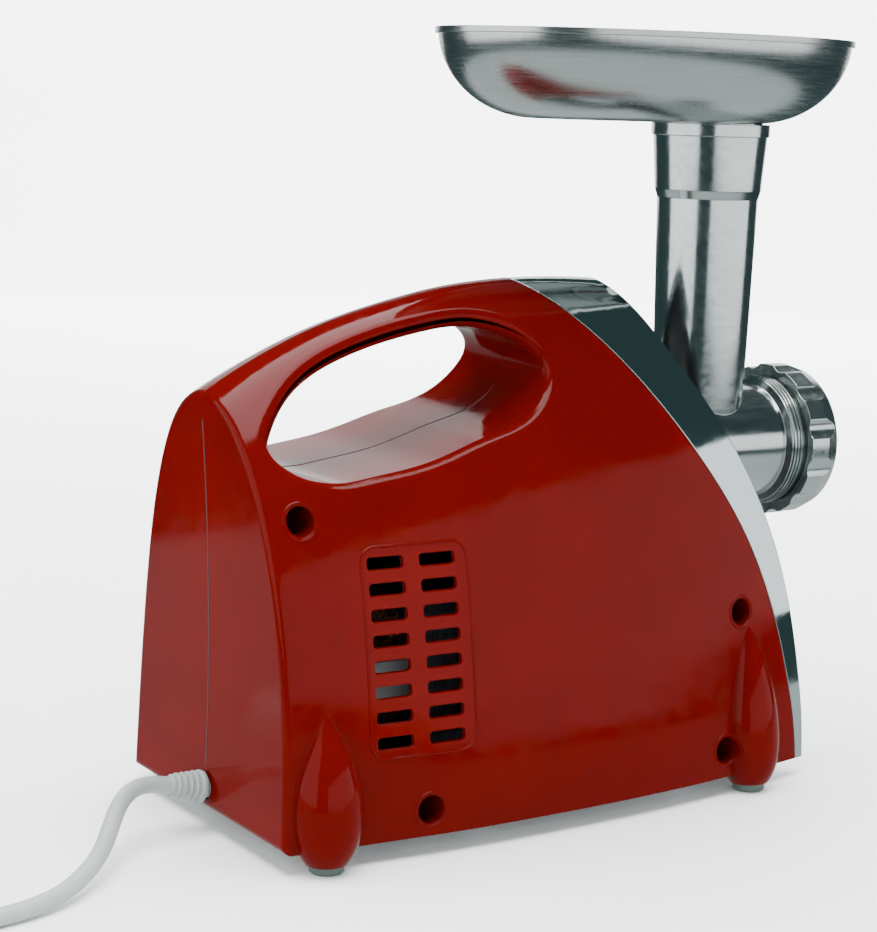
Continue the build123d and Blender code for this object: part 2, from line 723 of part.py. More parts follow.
with BuildPart() as head_socket:
    disc(gearbox_front, socket_flange, socket_flange_r)
    disc(gearbox_front, gearbox_front - socket_front_y, socket_r)
    disc(gearbox_front, 100, coupling_r + 1.5, mode=Mode.SUBTRACT)
    disc(spigot_y + 0.6, 100, spigot_r + fit, mode=Mode.SUBTRACT)
    groove = spigot_r + 3.4
    disc(head_wall_y + 0.5, 6.0, groove, mode=Mode.SUBTRACT)
    with BuildSketch(cross(head_wall_y - 1)):
        with Locations((0, axis_z)):
            with PolarLocations(spigot_r, 3, start_angle=90 + 45):
                Rectangle(2 * 3.2, 14.5)
    extrude(amount=40, mode=Mode.SUBTRACT)
    for x, z in socket_screws_at:
        disc(gearbox_front + 1, 20, screw_r + play, z, x, mode=Mode.SUBTRACT)
pieces["head_socket"] = head_socket

with BuildPart() as socket_screws:
    screws_along_y(socket_screws_at, socket_seat, 20, screw_r, screw_head_r, screw_head)
pieces["socket_screws"] = socket_screws

with BuildPart() as lock_button:
    # stop lip, on the low side only: the sloping panel leaves no room above
    disc(lock_back, lock_lip, lock_button_r + 1.8, lock_z, lock_x)
    block((lock_x - 20, lock_back - 20, lock_z - 3.2), (lock_x + 20, lock_back + 1, lock_z + 20),
          mode=Mode.SUBTRACT)
    disc(lock_back, 20.0, lock_button_r, lock_z, lock_x)
    fillet(lock_button.edges().sort_by(Axis.Y)[0], 1.5)
    disc(lock_back - 10, lock_back - 10 - flange_y - 2 * play, lock_pin_r, lock_z, lock_x)
pieces["lock_button"] = lock_button

spring_length = socket_seat - lock_back - lock_travel - 2 * spring_wire - play
with BuildPart() as upright_spring:
    with BuildLine():
        helix = Helix(pitch=spring_length / 3, height=spring_length, radius=4.0)
    with BuildSketch(Plane(origin=helix @ 0, z_dir=helix % 0)):
        Circle(spring_wire)
    sweep(path=helix, is_frenet=True)
spring_seat = socket_seat - spring_wire - play / 2
with BuildPart() as lock_spring:
    add(upright_spring.part.rotate(Axis.X, 90).moved(Location((lock_x, spring_seat, lock_z))))
pieces["lock_spring"] = lock_spring

# ---------------------------------------------------------------- gearbox
gearbox_ears = [(41.0, 118.0), (-41.0, 118.0), (31.5, 38.5), (-31.5, 38.5)]
gearbox_inner_front = gearbox_front + gearbox_wall


def gearbox_outline(draw_in):
    """Egg-shaped outline round the three gear axes."""
    with BuildSketch() as outline:
        with Locations((0, axis_z)):
            Circle(gearbox_top_r - draw_in)
        with Locations((0, motor_z)):
            Circle(gearbox_foot_r - draw_in)
        make_hull()
    return outline.sketch.faces()[0]


def gearbox_slab(y_rear, length, draw_in=0.0, mode=Mode.ADD):
    """Slab of the gearbox outline in the current piece."""
    with BuildSketch() as end:
        add(gearbox_outline(draw_in))
        if not draw_in:
            with Locations(*gearbox_ears):
                Circle(5.6)
    extrude(cross(y_rear) * end.sketch, amount=length, mode=mode)


with BuildPart() as gearbox_housing:
    gearbox_slab(gearbox_back, gearbox_back - gearbox_inner_front)
    gearbox_slab(gearbox_back - gearbox_wall, 60, gearbox_wall, mode=Mode.SUBTRACT)
    for side in (-1, 1):
        block((side * 24 - 6, gearbox_inner_front + 2, base_z + base_wall),
              (side * 24 + 6, gearbox_back, motor_z - 0.86 * gearbox_foot_r))
    disc(gearbox_back + 5, 20, output_r, mode=Mode.SUBTRACT)
    disc(gearbox_back + 5, 20, 7.0, idler_z, mode=Mode.SUBTRACT)
    disc(gearbox_back + 5, 20, 8.0, motor_z, mode=Mode.SUBTRACT)
    for x in (-bolt_x, bolt_x):
        disc(gearbox_back + 5, 12, bolt_r + fit, motor_z, x, mode=Mode.SUBTRACT)
    for x, z in gearbox_ears + socket_screws_at:
        disc(gearbox_front + 20, 40, screw_r + fit, z, x, mode=Mode.SUBTRACT)
pieces["gearbox_housing"] = gearbox_housing

with BuildPart() as gearbox_cover:
    gearbox_slab(gearbox_inner_front, gearbox_wall)
    disc(gearbox_inner_front + 5, 20, 16.0, mode=Mode.SUBTRACT)
    disc(gearbox_inner_front + 5, 20, 7.0, idler_z, mode=Mode.SUBTRACT)
    for x, z in gearbox_ears + socket_screws_at:
        disc(gearbox_inner_front + 1, 20, screw_r + play, z, x, mode=Mode.SUBTRACT)
pieces["gearbox_cover"] = gearbox_cover

with BuildPart() as gearbox_screws:
    screws_along_y(gearbox_ears, gearbox_front, 18, screw_r, screw_head_r, screw_head)
pieces["gearbox_screws"] = gearbox_screws


def ring(y_rear, length, r_out, r_in, z):
    """Plain bearing ring along Y as a piece."""
    with BuildPart() as plain:
        disc(y_rear, length, r_out, z)
        disc(y_rear + 1, length + 2, r_in, z, mode=Mode.SUBTRACT)
    return plain


output_bearing = ring(gearbox_inner_front + 1.8, gearbox_wall + 1.7, 16.0, output_r + fit, axis_z)
output_bush = ring(gearbox_back, gearbox_wall, output_r, 6.0 + fit, axis_z)
pieces.update(output_bearing=output_bearing, output_bush=output_bush)

with BuildPart() as idler_bushes:
    for y in (gearbox_back, gearbox_inner_front):
        disc(y, gearbox_wall, 7.0, idler_z)
        disc(y + 1, gearbox_wall + 2, idler_r + fit, idler_z, mode=Mode.SUBTRACT)
pieces["idler_bushes"] = idler_bushes

output_gear_back = -9.0
with BuildPart() as output_gear:
    toothed(output_gear_back, 13, second_teeth, second_module, axis_z, 0)
    disc(output_gear_back + 5, 40, output_r, mode=Mode.SUBTRACT)
    with BuildSketch(cross(output_gear_back)):
        with Locations((0, axis_z)):
            with PolarLocations(22, 6):
                Circle(7)
    extrude(amount=13, mode=Mode.SUBTRACT)
pieces["output_gear"] = output_gear

coupling_front = spigot_y + 0.8
with BuildPart() as output_shaft:
    turned([(gearbox_back - 0.4, 0), (gearbox_back - 0.4, 6.0), (1.2, 6.0), (1.2, output_r),
            (gearbox_front - 3.4, output_r), (gearbox_front - 3.4, coupling_r),
            (coupling_front, coupling_r), (coupling_front, 0)])
    block((-tail_half - fit, coupling_front - 1, axis_z - tail_half - fit),
          (tail_half + fit, spigot_y + 12.4, axis_z + tail_half + fit), mode=Mode.SUBTRACT)
pieces["output_shaft"] = output_shaft

first_gear_back = 1.0
with BuildPart() as first_gear:
    toothed(first_gear_back, 8, first_teeth, first_module, idler_z, 90 + 180 / first_teeth)
    disc(first_gear_back + 5, 40, idler_r, idler_z, mode=Mode.SUBTRACT)
pieces["first_gear"] = first_gear

with BuildPart() as second_pinion:
    toothed(first_gear_back - 8, 17, pinion_teeth, second_module, idler_z, 180 / pinion_teeth)
    disc(first_gear_back + 5, 60, idler_r, idler_z, mode=Mode.SUBTRACT)
pieces["second_pinion"] = second_pinion

with BuildPart() as idler_shaft:
    disc(gearbox_back - 0.4, gearbox_back - gearbox_front - 0.8, idler_r, idler_z)
pieces["idler_shaft"] = idler_shaft

with BuildPart() as motor_pinion:
    toothed(first_gear_back + 0.2, 8.4, pinion_teeth, first_module, motor_z, 90)
    disc(first_gear_back + 5, 40, 3.0, motor_z, mode=Mode.SUBTRACT)
pieces["motor_pinion"] = motor_pinion

# ---------------------------------------------------------------- motor
fan_back = stator_y - 12.0
with BuildPart() as motor_shaft:
    turned([(bracket_y - 0.4, 0), (bracket_y - 0.4, motor_shaft_r), (gearbox_back + 3, motor_shaft_r),
            (gearbox_back + 3, 3.0), (first_gear_back - 8.4, 3.0), (first_gear_back - 8.4, 0)], motor_z)
pieces["motor_shaft"] = motor_shaft

motor_front_bearing = ring(gearbox_back, gearbox_wall, 8.0, 3.0 + fit, motor_z)
motor_rear_bearing = ring(bracket_y, 5, 8.0, motor_shaft_r + fit, motor_z)
pieces.update(motor_front_bearing=motor_front_bearing, motor_rear_bearing=motor_rear_bearing)

with BuildPart() as cooling_fan:
    disc(fan_back, 12, 8.0, motor_z)
    disc(fan_back - 10, 2, fan_r, motor_z)
    with BuildSketch(cross(fan_back - 2)):
        with Locations((0, motor_z)):
            with PolarLocations(0.62 * fan_r, 9):
                Rectangle(0.68 * fan_r, 1.4, rotation=25)
    extrude(amount=9)
    disc(fan_back + 5, 40, motor_shaft_r, motor_z, mode=Mode.SUBTRACT)
pieces["cooling_fan"] = cooling_fan

slot_circle, slot_r, slots = 17.6, 2.4, 12
with BuildPart() as armature_core:
    disc(stator_back - 1, stator_length - 2, armature_r, motor_z)
    disc(stator_back + 5, 80, motor_shaft_r, motor_z, mode=Mode.SUBTRACT)
    with BuildSketch(cross(stator_back)):
        with Locations((0, motor_z)):
            with PolarLocations(slot_circle, slots):
                Circle(slot_r)
            with PolarLocations(slot_circle + 3, slots):
                Rectangle(5, 1.6)
    extrude(amount=stator_length, mode=Mode.SUBTRACT)
pieces["armature_core"] = armature_core

with BuildPart() as armature_windings:
    for y in (stator_back + 9, stator_y + 0.8):
        disc(y, 9.8, 20.2, motor_z)
    disc(stator_back + 20, 100, 6.5, motor_z, mode=Mode.SUBTRACT)
    with BuildSketch(cross(stator_back)):
        with Locations((0, motor_z)):
            with PolarLocations(slot_circle, slots):
                Circle(slot_r - 0.1)
    extrude(amount=stator_length)
pieces["armature_windings"] = armature_windings

with BuildPart() as commutator:
    disc(stator_back + 24, 13, commutator_r, motor_z)
    disc(stator_back + 30, 40, motor_shaft_r, motor_z, mode=Mode.SUBTRACT)
    with BuildSketch(cross(stator_back + 24)):
        with Locations((0, motor_z)):
            with PolarLocations(commutator_r, 24):
                Rectangle(1.6, 0.5)
    extrude(amount=13, mode=Mode.SUBTRACT)
pieces["commutator"] = commutator

coil_in, coil_out = armature_r + air_gap + 2.2, 32.0
with BuildPart() as stator_core:
    with BuildSketch(cross(stator_back)):
        with Locations((0, motor_z)):
            RectangleRounded(stator_width, stator_height, 12)
            Circle(armature_r + air_gap, mode=Mode.SUBTRACT)
            with Locations((-bolt_x, 0), (bolt_x, 0)):
                Circle(bolt_r + fit, mode=Mode.SUBTRACT)
    extrude(amount=stator_length)
    for middle in (45, 135, 225, 315):
        sector(stator_back + 1, stator_length + 2, coil_in, coil_out, middle - 17, 34, motor_z,
               mode=Mode.SUBTRACT)
pieces["stator_core"] = stator_core

with BuildPart() as field_windings:
    for middle in (45, 135, 225, 315):
        sector(stator_back + 8, stator_length + 16, coil_in + 0.2, coil_out - 0.2, middle - 16, 32,
               motor_z)
    for start in (45, 225):
        for y in (stator_back + 8, stator_y - 0.5):
            sector(y, 7.5, coil_in + 0.2, coil_out - 0.2, start, 90, motor_z)
pieces["field_windings"] = field_windings

with BuildPart() as end_bracket:
    block((-38, bracket_y - 5, motor_z - 11), (38, bracket_y, motor_z + 11))
    for side in (-1, 1):
        low, high = sorted((side * 29.5, side * 38))
        block((low, stator_back, motor_z - 8), (high, bracket_y - 1, motor_z + 8))
        disc(bracket_y + 5, 60, bolt_r + fit, motor_z, side * bolt_x, mode=Mode.SUBTRACT)
    disc(bracket_y + 5, 20, 8.0, motor_z, mode=Mode.SUBTRACT)
pieces["end_bracket"] = end_bracket

brush_y = stator_back + 17.5
with BuildPart() as brush_holders:
    for side in (-1, 1):
        low, high = sorted((side * (commutator_r + 2.5), side * 28.5))
        block((low, brush_y - 6, motor_z - 5.4), (high, bracket_y - 5, motor_z + 5.4))
        low, high = sorted((side * commutator_r, side * 40))
        block((low, brush_y - 4.1, motor_z - 3.3), (high, brush_y + 4.1, motor_z + 3.3), mode=Mode.SUBTRACT)
pieces["brush_holders"] = brush_holders

with BuildPart() as carbon_brushes:
    for side in (-1, 1):
        low, high = sorted((side * (commutator_r + 0.3), side * 25.0))
        block((low, brush_y - 4, motor_z - 3.2), (high, brush_y + 4, motor_z + 3.2))
pieces["carbon_brushes"] = carbon_brushes

with BuildPart() as motor_bolts:
    for x in (-bolt_x, bolt_x):
        disc(bracket_y + 2.4, 2.4, 3.6, motor_z, x)
        disc(bracket_y, bracket_y - gearbox_back + 3, bolt_r, motor_z, x)
pieces["motor_bolts"] = motor_bolts

# ---------------------------------------------------------------- switch, on the +X side
rocker_pivot = -3.0
rocker_plane = Plane(origin=switch_plane.offset(rocker_pivot).origin,
                     x_dir=switch_plane.z_dir * -1, z_dir=switch_plane.x_dir)

with BuildPart() as switch_bezel:
    with BuildSketch(switch_plane.offset(-9)):
        RectangleRounded(switch_width, switch_height, 3)
    extrude(amount=11)
    with BuildSketch(switch_plane.offset(-20)):
        Rectangle(rocker_width + 0.8, rocker_height + 3.0)
    extrude(amount=40, mode=Mode.SUBTRACT)
    with BuildSketch(rocker_plane.offset(-rocker_width / 2 - 1.5)):
        Circle(1.5)
    extrude(amount=rocker_width + 3, mode=Mode.SUBTRACT)
    rim = switch_bezel.faces().sort_by(Axis((0, 0, 0), tuple(switch_plane.z_dir)))[-1]
    fillet(rim.outer_wire().edges(), 1.0)
pieces["switch_bezel"] = switch_bezel

with BuildPart() as power_rocker:
    half = rocker_height / 2
    with BuildSketch(rocker_plane.offset(-rocker_width / 2)):
        with BuildLine():
            Polyline((3, -half), (-5.6, -half), (-3.4, 0), (-5.6, half), (3, half), (5.4, 0), close=True)
        make_face()
    extrude(amount=rocker_width)
    with BuildSketch(rocker_plane.offset(-rocker_width / 2 - 0.7)):
        Circle(1.4)
    extrude(amount=rocker_width + 1.4)
pieces["power_rocker"] = power_rocker

with BuildPart() as power_switch:
    with BuildSketch(switch_plane.offset(-9)):
        Rectangle(switch_width - 4, switch_height - 6)
    extrude(amount=-16)
    with BuildSketch(switch_plane.offset(-25)):
        with Locations((0, -8), (0, 8)):
            Rectangle(1, 6)
    extrude(amount=-7)
pieces["power_switch"] = power_switch

# ---------------------------------------------------------------- mains lead
rise = math.radians(boot_rise)
boot_dir = (0, math.cos(rise), math.sin(rise))
wall_y = rear_waist_y + (rear_foot_y - rear_waist_y) * ((rear_waist_z - boot_z) / rear_waist_z) ** 2
boot_root = (0, wall_y + play + boot_root_r * math.sin(rise), boot_z)
boot_tip = tuple(a + boot_length * b for a, b in zip(boot_root, boot_dir))
boot_plane = Plane(origin=boot_root, x_dir=(1, 0, 0), z_dir=boot_dir)

with BuildPart() as strain_relief:
    ribs = 5
    rib = boot_length / (ribs + 0.5)
    neck = boot_tip_r - 0.6
    inside = -wall - 2 * play - 2 * boot_root_r * math.sin(rise)
    outline = [(0, inside - 3), (6.2, inside - 3), (6.2, inside), (neck, inside), (neck, 0),
               (boot_root_r, 0)]
    for k in range(ribs):
        r = boot_root_r + (boot_tip_r - boot_root_r) * (k + 1) / ribs
        outline += [(r + 0.7, (k + 0.62) * rib), (r - 0.5, (k + 0.70) * rib), (r - 0.5, (k + 1) * rib)]
    outline += [(boot_tip_r, boot_length), (0, boot_length)]
    with BuildSketch(Plane(origin=boot_root, x_dir=(1, 0, 0), z_dir=boot_plane.y_dir * -1)):
        with BuildLine():
            Polyline(*[(x, z) for x, z in outline], close=True)
        make_face()
    revolve(axis=Axis(boot_root, boot_dir))
pieces["strain_relief"] = strain_relief


def lead_path(points):
    """Straight runs joined by arcs as large as the runs allow, and the arcs' radii."""
    corners = [Vector(*p) for p in points]
    radii = []
    for a, b, c in zip(corners, corners[1:], corners[2:]):
        turn = math.radians((b - a).get_angle(c - b))
        radii.append(0.45 * min((b - a).length, (c - b).length) / math.tan(turn / 2))
    return corners, radii


def lead_tube(points):
    """Round lead along a route."""
    corners, radii = lead_path(points)
    print("lead radii", [round(r, 1) for r in radii])
    with BuildPart() as tube:
        with BuildLine() as path:
            FilletPolyline(*corners, radius=radii)
        with BuildSketch(Plane(origin=corners[0], z_dir=corners[1] - corners[0])):
            Circle(cord_d / 2)
        sweep(path=path.wires()[0])
    run = path.wires()[0].length
    print("lead length", round(run, 1), "volume", round(tube.part.volume),
          "section x length", round(math.pi * cord_d ** 2 / 4 * run))
    return tube


first_bend = tuple(a + lead_straight * b for a, b in zip(boot_tip, boot_dir))
power_cord = lead_tube([boot_tip, first_bend, *lead_route])
cord_tail = lead_tube(tail_route)

with BuildPart() as cord_coil:
    with BuildSketch(Plane.XY.offset(tie_wall)):
        with Locations(coil_centre):
            Circle(coil_mean_r + cord_d)
            Circle(coil_mean_r - cord_d, mode=Mode.SUBTRACT)
    extrude(amount=2 * cord_d)
    fillet(cord_coil.edges(), 0.45 * cord_d)
pieces.update(power_cord=power_cord, cord_tail=cord_tail, cord_coil=cord_coil)

tie_x = coil_centre[0]
tie_mid = coil_centre[1] - coil_mean_r
tie_reach = cord_d + 0.35
with BuildPart() as cord_tie:
    block((tie_x - tie_width / 2, tie_mid - tie_reach - tie_wall, 0),
          (tie_x + tie_width / 2, tie_mid + tie_reach + tie_wall, 2 * cord_d + 2 * tie_wall + 0.3))
    block((tie_x - tie_width, tie_mid - tie_reach, tie_wall),
          (tie_x + tie_width, tie_mid + tie_reach, 2 * cord_d + tie_wall + 0.3), mode=Mode.SUBTRACT)
pieces["cord_tie"] = cord_tie

plug_axis = (Vector(*tail_route[-1]) - Vector(*tail_route[-2])).normalized()
plug_dir = Vector(plug_axis.X, plug_axis.Y, 0).normalized()
plug_plane = Plane(origin=tail_route[-1][:2] + (plug_height / 2,), x_dir=(0, 0, 1), z_dir=plug_dir)

with BuildPart() as plug_body:
    with BuildSketch(plug_plane):
        Circle(4.6)
    with BuildSketch(plug_plane.offset(plug_boot)):
        Ellipse(8.4, 10.0)
    loft()
    with BuildSketch(plug_plane.offset(plug_boot)):
        RectangleRounded(plug_height, plug_width, 8)
    extrude(amount=plug_length)
    fillet(plug_body.faces().sort_by(Axis((0, 0, 0), tuple(plug_dir)))[-1].edges(), 2)
pieces["plug_body"] = plug_body

with BuildPart() as plug_pins:
    with BuildSketch(plug_plane.offset(plug_boot + plug_length)):
        with Locations((0, -plug_pin_pitch / 2), (0, plug_pin_pitch / 2)):
            Circle(plug_pin_r)
    extrude(amount=plug_pin_length)
    fillet(plug_pins.faces().sort_by(Axis((0, 0, 0), tuple(plug_dir)))[-2:].edges(), 1.2)
pieces["plug_pins"] = plug_pins

# ================================================================ files
os.makedirs("parts", exist_ok=True)
for name, piece in pieces.items():
    piece.part.label = name
    export_step(piece.part, f"parts/{name}.step")
print(len(pieces), "pieces")
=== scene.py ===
"""Looks of a countertop meat grinder: finishes, mains lead, mouldings and stage.

Metres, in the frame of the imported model: +Z up, the outlet towards -Y, the lead
leaves at +Y, and the origin is on the worktop under the middle of the grinder.
"""

import math

import bmesh
import bpy
from mathutils import Matrix, Vector
from mathutils.bvhtree import BVHTree


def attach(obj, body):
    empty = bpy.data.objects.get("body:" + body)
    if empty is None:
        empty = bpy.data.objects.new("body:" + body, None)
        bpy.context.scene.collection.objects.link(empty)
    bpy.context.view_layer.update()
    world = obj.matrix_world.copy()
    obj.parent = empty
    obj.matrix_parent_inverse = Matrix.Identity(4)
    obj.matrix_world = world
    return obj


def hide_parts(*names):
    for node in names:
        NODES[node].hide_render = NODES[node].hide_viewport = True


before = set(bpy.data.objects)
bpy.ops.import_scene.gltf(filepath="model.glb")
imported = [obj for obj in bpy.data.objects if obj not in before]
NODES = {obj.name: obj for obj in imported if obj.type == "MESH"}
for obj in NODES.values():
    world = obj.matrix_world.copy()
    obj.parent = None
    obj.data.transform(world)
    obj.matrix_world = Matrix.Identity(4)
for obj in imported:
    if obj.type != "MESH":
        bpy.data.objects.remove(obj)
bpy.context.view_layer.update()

bl_info = {
    "name": "Meat grinder looks",
    "version": (1, 0, 0),
    "blender": (4, 5, 0),
    "location": "3D View > Sidebar > Grinder",
    "description": "Finishes, lead, mouldings and stage for a countertop meat grinder",
    "category": "Object",
}

MM = 0.001


# ---------------------------------------------------------------- settings
def colour_setting(name, description, default):
    """A colour that the user can change."""
    return bpy.props.FloatVectorProperty(name=name, description=description, subtype="COLOR",
                                         size=3, min=0, max=1, default=default)


def share_setting(name, description, default):
    """A number from nought to one that the user can change."""
    return bpy.props.FloatProperty(name=name, description=description, subtype="FACTOR",
                                   min=0, max=1, default=default)


def length_setting(name, description, default):
    """A length that the user can change."""
    return bpy.props.FloatProperty(name=name, description=description, subtype="DISTANCE",
                                   unit="LENGTH", min=0, default=default)


class GrinderFinishes(bpy.types.PropertyGroup):
    """Colours and gloss of the visible pieces."""

    casing_colour: colour_setting("Casing", "Colour of the glossy moulded casing",
                                  (0.075, 0.0013, 0.0007))
    casing_gloss: share_setting("Casing roughness", "Roughness of the casing", 0.10)
    chrome_colour: colour_setting("Trim", "Tint of the plated front trim", (0.50, 0.57, 0.57))
    alloy_colour: colour_setting("Head", "Colour of the polished cast head", (0.50, 0.545, 0.54))
    tray_colour: colour_setting("Tray", "Colour of the satin tray", (0.50, 0.53, 0.525))
    lead_colour: colour_setting("Lead", "Colour of the lead and its sleeve", (0.31, 0.35, 0.34))
    feet_colour: colour_setting("Feet", "Colour of the rubber feet", (0.05, 0.075, 0.065))


class GrinderSizes(bpy.types.PropertyGroup):
    """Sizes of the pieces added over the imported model."""

    lead_diameter: length_setting("Lead diameter", "Outside diameter of the mains lead", 7.2 * MM)
    line_radius: length_setting("Moulded line", "Radius of the raised line round the vents",
                                0.75 * MM)
    # Painted shade: the seam is a thin dark line that stands for the shade in the groove between
    # the casing halves.
    seam_shade_radius: length_setting("Seam", "Radius of the dark line between the casing halves",
                                0.28 * MM)


class GrinderStage(bpy.types.PropertyGroup):
    """Floor and light."""

    floor_colour: colour_setting("Floor", "Colour of the floor and the backdrop",
                                 (0.90, 0.91, 0.91))
    key_power: bpy.props.FloatProperty(name="Key light", description="Power of the main light",
                                       unit="POWER", default=300.0, min=0)
    fill_power: bpy.props.FloatProperty(name="Fill light", description="Power of the fill light",
                                        unit="POWER", default=14.0, min=0)
    # Painted reflection: glow of the grey disc that glossy pieces mirror in place of the floor.
    mirrored: bpy.props.FloatProperty(name="Mirrored floor",
                                      description="Brightness of the floor in glossy pieces",
                                      default=0.85, min=0)
    ambient: share_setting("Ambient", "Strength of the even light from all round", 0.085)


# ---------------------------------------------------------------- finishes
# Sockets of a colour mix node: its two colours and its result.
MIX_A, MIX_B, MIX_RESULT = 6, 7, 2


class Finish:
    """A procedural material with a few helpers for building its nodes."""

    def __init__(self, name, colour, roughness, metallic=0.0):
        self.material = bpy.data.materials.new(name)
        self.material.use_nodes = True
        self.tree = self.material.node_tree
        self.shader = self.tree.nodes["Principled BSDF"]
        self.colour = tuple(colour)
        self.roughness = roughness
        self.shader.inputs["Metallic"].default_value = metallic
        self.shader.inputs["Base Color"].default_value = (*colour, 1)
        self.shader.inputs["Roughness"].default_value = roughness
        self.place = self.tree.nodes.new("ShaderNodeTexCoord").outputs["Object"]
        self.normal = None

    def node(self, kind, **settings):
        """A new node with its settings."""
        made = self.tree.nodes.new(kind)
        for key, value in settings.items():
            setattr(made, key, value)
        return made

    def link(self, out, into):
        self.tree.links.new(out, into)

    def noise(self, size, detail=3.0, stretch=(1, 1, 1), rough=0.5):
        """Noise whose patches are about size metres across; stretch lengthens them."""
        mapping = self.node("ShaderNodeMapping")
        mapping.inputs["Scale"].default_value = [1 / s for s in stretch]
        self.link(self.place, mapping.inputs["Vector"])
        noise = self.node("ShaderNodeTexNoise")
        noise.inputs["Scale"].default_value = 1 / size
        noise.inputs["Detail"].default_value = detail
        noise.inputs["Roughness"].default_value = rough
        self.link(mapping.outputs["Vector"], noise.inputs["Vector"])
        return noise.outputs["Fac"]

    def ramp(self, value, low, high, start=0.35, end=0.65):
        """Straight ramp from low to high as the value goes from start to end."""
        span = self.node("ShaderNodeMapRange")
        for key, number in (("From Min", start), ("From Max", end), ("To Min", low),
                            ("To Max", high)):
            span.inputs[key].default_value = number
        self.link(value, span.inputs["Value"])
        return span.outputs["Result"]

    def blend(self, mask, other):
        """Mixes another colour into the colour so far, by the mask."""
        mix = self.node("ShaderNodeMix", data_type="RGBA")
        mix.inputs[MIX_B].default_value = (*other, 1)
        source = self.shader.inputs["Base Color"]
        if source.is_linked:
            self.link(source.links[0].from_socket, mix.inputs[MIX_A])
        else:
            mix.inputs[MIX_A].default_value = (*self.colour, 1)
        self.link(mask, mix.inputs["Factor"])
        self.link(mix.outputs[MIX_RESULT], source)
        return self

    def vary_colour(self, value, other, amount=1.0):
        """Patches of another colour, where the value is high."""
        return self.blend(self.ramp(value, 0.0, amount), other)

    def vary_roughness(self, value, spread):
        """Duller and shinier patches, either side of the finish's roughness."""
        low, high = max(0.02, self.roughness - spread), min(1.0, self.roughness + spread)
        self.link(self.ramp(value, low, high), self.shader.inputs["Roughness"])
        return self

    def bump(self, value, depth, strength=1.0):
        """Relief of the given depth in metres."""
        bump = self.node("ShaderNodeBump")
        bump.inputs["Strength"].default_value = strength
        bump.inputs["Distance"].default_value = depth
        self.link(value, bump.inputs["Height"])
        if self.normal:
            self.link(self.normal, bump.inputs["Normal"])
        self.normal = bump.outputs["Normal"]
        self.link(self.normal, self.shader.inputs["Normal"])
        return self

    def soft_edges(self, radius):
        """Rounds sharp edges in the shading, as moulding and polishing do."""
        bevel = self.node("ShaderNodeBevel", samples=6)
        bevel.inputs["Radius"].default_value = radius
        self.normal = bevel.outputs["Normal"]
        self.link(self.normal, self.shader.inputs["Normal"])
        return self

    def worn_edges(self, other, amount=0.5):
        """Slightly different colour on the sharp edges, from handling."""
        edge = self.node("ShaderNodeNewGeometry").outputs["Pointiness"]
        return self.blend(self.ramp(edge, 0.0, amount, 0.54, 0.62), other)

    def coat(self, weight, roughness):
        """Clear lacquer over the finish."""
        self.shader.inputs["Coat Weight"].default_value = weight
        self.shader.inputs["Coat Roughness"].default_value = roughness
        return self


def shade(colour, factor):
    """The colour made lighter or darker."""
    return tuple(min(1.0, c * factor) for c in colour)


def gloss_plastic(name, colour, roughness=0.2, edge=0.5 * MM):
    """Shiny moulded plastic: faint flow marks, orange peel and fine dust scratches."""
    finish = Finish(name, colour, roughness)
    finish.soft_edges(edge)
    finish.vary_colour(finish.noise(40 * MM, 2), shade(colour, 0.82), 0.5)
    finish.worn_edges(shade(colour, 1.7), 0.25)
    finish.vary_roughness(finish.noise(9 * MM, 5, rough=0.6), 0.05)
    finish.bump(finish.noise(7 * MM, 2), 0.02 * MM, 0.35)
    finish.bump(finish.noise(0.7 * MM, 2), 0.004 * MM, 0.3)
    finish.shader.inputs["Specular IOR Level"].default_value = 0.085
    return finish.material


def satin_plastic(name, colour, roughness=0.5, grain=0.5 * MM):
    """Fine-textured moulded plastic or rubber."""
    finish = Finish(name, colour, roughness)
    finish.soft_edges(0.35 * MM)
    finish.vary_colour(finish.noise(14 * MM, 3), shade(colour, 0.8), 0.6)
    finish.worn_edges(shade(colour, 1.35), 0.35)
    finish.vary_roughness(finish.noise(5 * MM, 4), 0.08)
    finish.bump(finish.noise(grain, 3), 0.05 * MM, 0.5)
    return finish.material


def plated(name, colour, roughness=0.05):
    """Bright plating with a faint haze and wiping marks."""
    finish = Finish(name, colour, roughness, 1.0)
    finish.soft_edges(0.8 * MM)
    finish.vary_colour(finish.noise(50 * MM, 2), shade(colour, 0.93), 0.6)
    finish.vary_roughness(finish.noise(12 * MM, 5, rough=0.65), 0.03)
    finish.bump(finish.noise(18 * MM, 1), 0.03 * MM, 0.3)
    return finish.material


def polished_cast(name, colour, roughness=0.2, stretch=(1, 1, 1)):
    """Buffed cast alloy: soft mottling, fine turning lines and tiny pits."""
    finish = Finish(name, colour, roughness, 1.0)
    finish.soft_edges(0.6 * MM)
    finish.vary_colour(finish.noise(16 * MM, 4), shade(colour, 0.88), 0.6)
    finish.vary_roughness(finish.noise(3 * MM, 5, stretch, 0.6), 0.04)
    finish.bump(finish.noise(0.5 * MM, 3, stretch), 0.006 * MM, 0.3)
    finish.bump(finish.noise(5 * MM, 2), 0.02 * MM, 0.25)
    return finish.material


def brushed(name, colour, roughness=0.3, stretch=(12, 1, 1)):
    """Metal with short parallel brush strokes along one axis."""
    finish = Finish(name, colour, roughness, 1.0)
    finish.soft_edges(0.4 * MM)
    finish.vary_colour(finish.noise(1.2 * MM, 3, stretch), shade(colour, 0.90), 0.5)
    finish.vary_colour(finish.noise(35 * MM, 2), shade(colour, 0.90), 0.5)
    finish.vary_roughness(finish.noise(0.8 * MM, 4, stretch, 0.6), 0.05)
    finish.bump(finish.noise(0.35 * MM, 3, stretch), 0.004 * MM, 0.25)
    return finish.material


